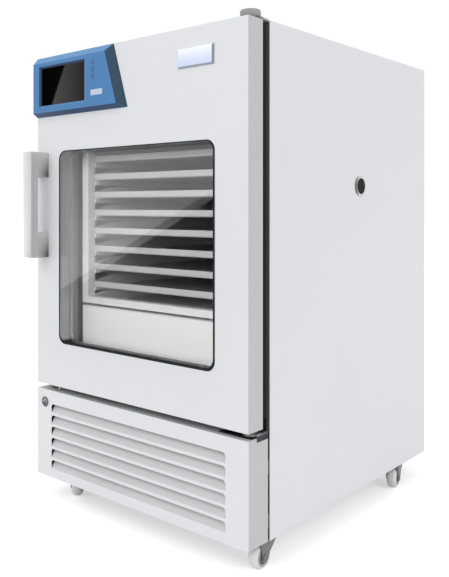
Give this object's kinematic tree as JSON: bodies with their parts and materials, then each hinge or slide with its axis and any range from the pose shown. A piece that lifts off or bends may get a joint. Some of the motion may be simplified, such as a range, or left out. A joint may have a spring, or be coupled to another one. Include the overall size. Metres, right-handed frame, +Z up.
{
  "type": "platelet agitator",
  "caption": "Floor-standing platelet agitator cabinet on casters, with a glass door, a rack of slide-out trays rocked by a crank, a control panel and a louvred lower panel.",
  "frame": {"origin": "on the floor, under the middle of the whole object", "axes": "+X to the right of someone facing the door, +Y to the back, +Z up"},
  "size_m": [0.653, 0.795, 1.0705],
  "materials": {
    "white_paint": "satin white powder coat",
    "grey_trim": "satin light grey",
    "panel_grey": "satin light grey paint",
    "base_steel": "grey primer",
    "foam": "cut foam, matt",
    "liner_steel": "fine brushed",
    "breaker_dark": "matt",
    "louvre_grey": "matt grey mesh",
    "zinc_steel": "zinc plated",
    "hinge_grey": "satin grey",
    "cap_grey": "satin grey",
    "port_ring": "satin",
    "black_rubber": "matt",
    "compressor_black": "satin black paint",
    "fin_aluminium": "fine fins",
    "board_green": "satin solder mask",
    "black_plastic": "satin",
    "motor_grey": "satin",
    "box_white": "satin light paint",
    "screw_steel": "bright",
    "seal_black": "satin",
    "frame_grey": "satin anodised",
    "glass": "clear polished",
    "gasket_grey": "matt",
    "handle_grey": "satin",
    "panel_blue": "semi-gloss moulded",
    "screen_black": "gloss glass",
    "mark_dark": "satin",
    "silver_plate": "satin",
    "rack_grey": "satin anodised",
    "tray_grey": "satin, pressed",
    "dark_steel": "turned",
    "fan_black": "satin",
    "wheel_white": "satin nylon",
    "fork_steel": "zinc plated"
  },
  "bodies": {
    "cabinet": {"outer_shell": "white_paint", "base_frame": "base_steel", "insulation": "foam", "inner_liner": "liner_steel", "breaker_frame": "breaker_dark", "lower_panel_face": "white_paint", "lower_panel_frame": "panel_grey", "louvre_blades": "louvre_grey", "lock_barrel": "zinc_steel", "hinge_brackets": "hinge_grey", "hinge_cap": "cap_grey", "port_sleeve": "port_ring", "compressor": "compressor_black", "condenser_unit": "fin_aluminium", "circuit_board": "board_green", "evaporator_coil": "fin_aluminium", "power_inlet": "black_plastic", "duct_cover": "liner_steel", "circulation_fan_motor": "motor_grey", "agitator_cover": "box_white", "agitator_base": "base_steel", "agitator_motor": "motor_grey", "screws": "screw_steel"},
    "door": {"door_face_panel": "white_paint", "door_edge_frame": "grey_trim", "door_core": "foam", "door_inner_panel": "white_paint", "window_seal": "seal_black", "window_frame": "frame_grey", "glass_panes": "glass", "door_gasket": "gasket_grey", "door_handle": "handle_grey", "control_housing": "panel_blue", "control_screen": "screen_black", "control_indicators": "mark_dark", "badge_plate": "silver_plate", "lock_keeper": "black_plastic"},
    "lock_cylinder": {"lock_cylinder": "zinc_steel"},
    "port_plug": {"port_plug": "black_rubber"},
    "rack": {"rack_frame": "rack_grey"},
    "crank": {"crank": "dark_steel"},
    "connecting_rod": {"connecting_rod": "dark_steel"},
    "condenser_fan": {"condenser_fan": "fan_black"},
    "circulation_fan": {"circulation_fan": "fan_black"},
    "tray_1": {"tray_1": "tray_grey"},
    "tray_2": {"tray_2": "tray_grey"},
    "tray_3": {"tray_3": "tray_grey"},
    "tray_4": {"tray_4": "tray_grey"},
    "tray_5": {"tray_5": "tray_grey"},
    "tray_6": {"tray_6": "tray_grey"},
    "tray_7": {"tray_7": "tray_grey"},
    "tray_8": {"tray_8": "tray_grey"},
    "fork_front_left": {"caster_fork_front_left": "fork_steel"},
    "wheel_front_left": {"caster_wheel_front_left": "wheel_white"},
    "fork_front_right": {"caster_fork_front_right": "fork_steel"},
    "wheel_front_right": {"caster_wheel_front_right": "wheel_white"},
    "fork_rear_left": {"caster_fork_rear_left": "fork_steel"},
    "wheel_rear_left": {"caster_wheel_rear_left": "wheel_white"},
    "fork_rear_right": {"caster_fork_rear_right": "fork_steel"},
    "wheel_rear_right": {"caster_wheel_rear_right": "wheel_white"}
  },
  "joints": [
    {"name": "door_hinge", "type": "hinge", "parent": "cabinet", "child": "door", "pos_m": [0.3035, -0.3175, 0.274], "axis": [0, 0, 1], "range_deg": [0, 110]},
    {"name": "lock_turn", "type": "hinge", "parent": "cabinet", "child": "lock_cylinder", "pos_m": [-0.2965, -0.3475, 0.231], "axis": [0, -1, 0], "range_deg": [0, 90]},
    {"name": "port_plug_pull", "type": "slide", "parent": "cabinet", "child": "port_plug", "axis": [1, 0, 0], "range_m": [0, 0.06]},
    {"name": "rack_slide", "type": "slide", "parent": "cabinet", "child": "rack", "axis": [1, 0, 0], "range_m": [-0.019, 0.019]},
    {"name": "tray_1_slide", "type": "slide", "parent": "rack", "child": "tray_1", "axis": [0, -1, 0], "range_m": [0, 0.22]},
    {"name": "tray_2_slide", "type": "slide", "parent": "rack", "child": "tray_2", "axis": [0, -1, 0], "range_m": [0, 0.22]},
    {"name": "tray_3_slide", "type": "slide", "parent": "rack", "child": "tray_3", "axis": [0, -1, 0], "range_m": [0, 0.22]},
    {"name": "tray_4_slide", "type": "slide", "parent": "rack", "child": "tray_4", "axis": [0, -1, 0], "range_m": [0, 0.22]},
    {"name": "tray_5_slide", "type": "slide", "parent": "rack", "child": "tray_5", "axis": [0, -1, 0], "range_m": [0, 0.22]},
    {"name": "tray_6_slide", "type": "slide", "parent": "rack", "child": "tray_6", "axis": [0, -1, 0], "range_m": [0, 0.22]},
    {"name": "tray_7_slide", "type": "slide", "parent": "rack", "child": "tray_7", "axis": [0, -1, 0], "range_m": [0, 0.22]},
    {"name": "tray_8_slide", "type": "slide", "parent": "rack", "child": "tray_8", "axis": [0, -1, 0], "range_m": [0, 0.22]},
    {"name": "crank_spin", "type": "hinge", "parent": "cabinet", "child": "crank", "pos_m": [-0.1095, -0.0175, 0.437], "axis": [0, 0, 1], "continuous": true},
    {"name": "rod_pivot", "type": "hinge", "parent": "crank", "child": "connecting_rod", "pos_m": [-0.1095, 0.0015, 0.437], "axis": [0, 0, 1], "continuous": true},
    {"name": "condenser_fan_spin", "type": "hinge", "parent": "cabinet", "child": "condenser_fan", "pos_m": [-0.0965, -0.1995, 0.142], "axis": [0, 1, 0], "continuous": true},
    {"name": "circulation_fan_spin", "type": "hinge", "parent": "cabinet", "child": "circulation_fan", "pos_m": [-0.0015, 0.321, 0.875], "axis": [0, -1, 0], "continuous": true},
    {"name": "swivel_front_left", "type": "hinge", "parent": "cabinet", "child": "fork_front_left", "pos_m": [-0.2665, -0.2675, 0.055], "axis": [0, 0, 1], "continuous": true},
    {"name": "roll_front_left", "type": "hinge", "parent": "fork_front_left", "child": "wheel_front_left", "pos_m": [-0.25236, -0.28435, 0.025], "axis": [0.766, 0.6428, 0], "continuous": true},
    {"name": "swivel_front_right", "type": "hinge", "parent": "cabinet", "child": "fork_front_right", "pos_m": [0.3025, -0.2675, 0.055], "axis": [0, 0, 1], "continuous": true},
    {"name": "roll_front_right", "type": "hinge", "parent": "fork_front_right", "child": "wheel_front_right", "pos_m": [0.3025, -0.2895, 0.025], "axis": [1, 0, 0], "continuous": true},
    {"name": "swivel_rear_left", "type": "hinge", "parent": "cabinet", "child": "fork_rear_left", "pos_m": [-0.2665, 0.2745, 0.055], "axis": [0, 0, 1], "continuous": true},
    {"name": "roll_rear_left", "type": "hinge", "parent": "fork_rear_left", "child": "wheel_rear_left", "pos_m": [-0.26268, 0.25283, 0.025], "axis": [0.9848, 0.1736, 0], "continuous": true},
    {"name": "swivel_rear_right", "type": "hinge", "parent": "cabinet", "child": "fork_rear_right", "pos_m": [0.3025, 0.2745, 0.055], "axis": [0, 0, 1], "continuous": true},
    {"name": "roll_rear_right", "type": "hinge", "parent": "fork_rear_right", "child": "wheel_rear_right", "pos_m": [0.30782, 0.25315, 0.025], "axis": [0.9703, 0.2419, 0], "continuous": true}
  ],
  "couplings": [
    {"joint": "tray_1_slide", "follows": "door_hinge", "m_per_rad": 0.1145},
    {"joint": "tray_2_slide", "follows": "door_hinge", "m_per_rad": 0.1145},
    {"joint": "tray_3_slide", "follows": "door_hinge", "m_per_rad": 0.1145},
    {"joint": "tray_4_slide", "follows": "door_hinge", "m_per_rad": 0.1145},
    {"joint": "tray_5_slide", "follows": "door_hinge", "m_per_rad": 0.1145},
    {"joint": "tray_6_slide", "follows": "door_hinge", "m_per_rad": 0.1145},
    {"joint": "tray_7_slide", "follows": "door_hinge", "m_per_rad": 0.1145},
    {"joint": "tray_8_slide", "follows": "door_hinge", "m_per_rad": 0.1145},
    {"joint": "rod_pivot", "follows": "crank_spin", "ratio": -1}
  ]
}
